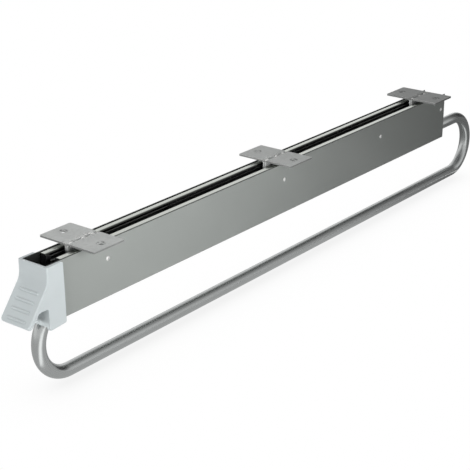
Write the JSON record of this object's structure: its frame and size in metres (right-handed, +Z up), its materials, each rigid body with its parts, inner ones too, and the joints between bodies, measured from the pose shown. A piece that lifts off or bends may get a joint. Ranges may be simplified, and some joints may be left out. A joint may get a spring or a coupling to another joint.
{
  "type": "pull-out clothes rail",
  "caption": "Ceiling-mounted pull-out clothes rail: bracketed twin ball slides carry a long cover with a front grip cap and a bent hanging tube below it.",
  "frame": {"origin": "centre of the middle bracket's screw-hole pair, on the ceiling plane", "axes": "+Z up into the ceiling, +Y to the back of the wardrobe, -Y the way the rail is pulled out, +X to the right of someone in front of it"},
  "size_m": [0.0968, 1.1538, 0.1836],
  "materials": {
    "bracket_zinc": "satin zinc plate",
    "slide_zinc": "bright zinc plate",
    "fastener_steel": "zinc-plated steel",
    "rivet_aluminium": "bright aluminium",
    "cover_paint": "satin silver-grey lacquer on sheet steel",
    "cap_plastic": "satin light grey moulded plastic",
    "tube_satin": "satin steel tube",
    "black_plastic": "black moulded plastic",
    "black_rubber": "black rubber"
  },
  "bodies": {
    "ceiling_frame": {"bracket_front_left": "bracket_zinc", "bracket_front_right": "bracket_zinc", "bracket_middle_left": "bracket_zinc", "bracket_middle_right": "bracket_zinc", "bracket_rear_left": "bracket_zinc", "bracket_rear_right": "bracket_zinc", "seam_welds": "fastener_steel", "spacer_bushes": "fastener_steel", "slide_bolts": "fastener_steel", "slide_nuts": "fastener_steel", "inner_member_left": "slide_zinc", "inner_member_right": "slide_zinc", "end_clip_left": "black_plastic", "end_clip_right": "black_plastic"},
    "intermediate_left": {"intermediate_left": "slide_zinc"},
    "intermediate_right": {"intermediate_right": "slide_zinc"},
    "inner_cage_left": {"inner_cage_left": "black_plastic", "inner_balls_left": "fastener_steel"},
    "inner_cage_right": {"inner_cage_right": "black_plastic", "inner_balls_right": "fastener_steel"},
    "outer_cage_left": {"outer_cage_left": "black_plastic", "outer_balls_left": "fastener_steel"},
    "outer_cage_right": {"outer_cage_right": "black_plastic", "outer_balls_right": "fastener_steel"},
    "carriage": {"outer_member_left": "slide_zinc", "outer_member_right": "slide_zinc", "bumper_left": "black_rubber", "bumper_right": "black_rubber", "cover_channel": "cover_paint", "cover_rivets_left": "rivet_aluminium", "cover_rivets_right": "rivet_aluminium", "handle_cap": "cap_plastic", "hanging_tube": "tube_satin", "tube_clamp_front": "black_plastic", "tube_clamp_rear": "black_plastic", "clamp_screws": "fastener_steel"}
  },
  "joints": [
    {"name": "pull_out", "type": "slide", "parent": "ceiling_frame", "child": "carriage", "axis": [0, -1, 0], "range_m": [0, 0.9]},
    {"name": "intermediate_run_left", "type": "slide", "parent": "ceiling_frame", "child": "intermediate_left", "axis": [0, -1, 0], "range_m": [0, 0.45]},
    {"name": "intermediate_run_right", "type": "slide", "parent": "ceiling_frame", "child": "intermediate_right", "axis": [0, -1, 0], "range_m": [0, 0.45]},
    {"name": "inner_cage_run_left", "type": "slide", "parent": "ceiling_frame", "child": "inner_cage_left", "axis": [0, -1, 0], "range_m": [0, 0.225]},
    {"name": "inner_cage_run_right", "type": "slide", "parent": "ceiling_frame", "child": "inner_cage_right", "axis": [0, -1, 0], "range_m": [0, 0.225]},
    {"name": "outer_cage_run_left", "type": "slide", "parent": "ceiling_frame", "child": "outer_cage_left", "axis": [0, -1, 0], "range_m": [0, 0.675]},
    {"name": "outer_cage_run_right", "type": "slide", "parent": "ceiling_frame", "child": "outer_cage_right", "axis": [0, -1, 0], "range_m": [0, 0.675]}
  ],
  "couplings": [
    {"joint": "intermediate_run_left", "follows": "pull_out", "ratio": 0.5},
    {"joint": "intermediate_run_right", "follows": "pull_out", "ratio": 0.5},
    {"joint": "inner_cage_run_left", "follows": "pull_out", "ratio": 0.25},
    {"joint": "inner_cage_run_right", "follows": "pull_out", "ratio": 0.25},
    {"joint": "outer_cage_run_left", "follows": "pull_out", "ratio": 0.75},
    {"joint": "outer_cage_run_right", "follows": "pull_out", "ratio": 0.75}
  ]
}
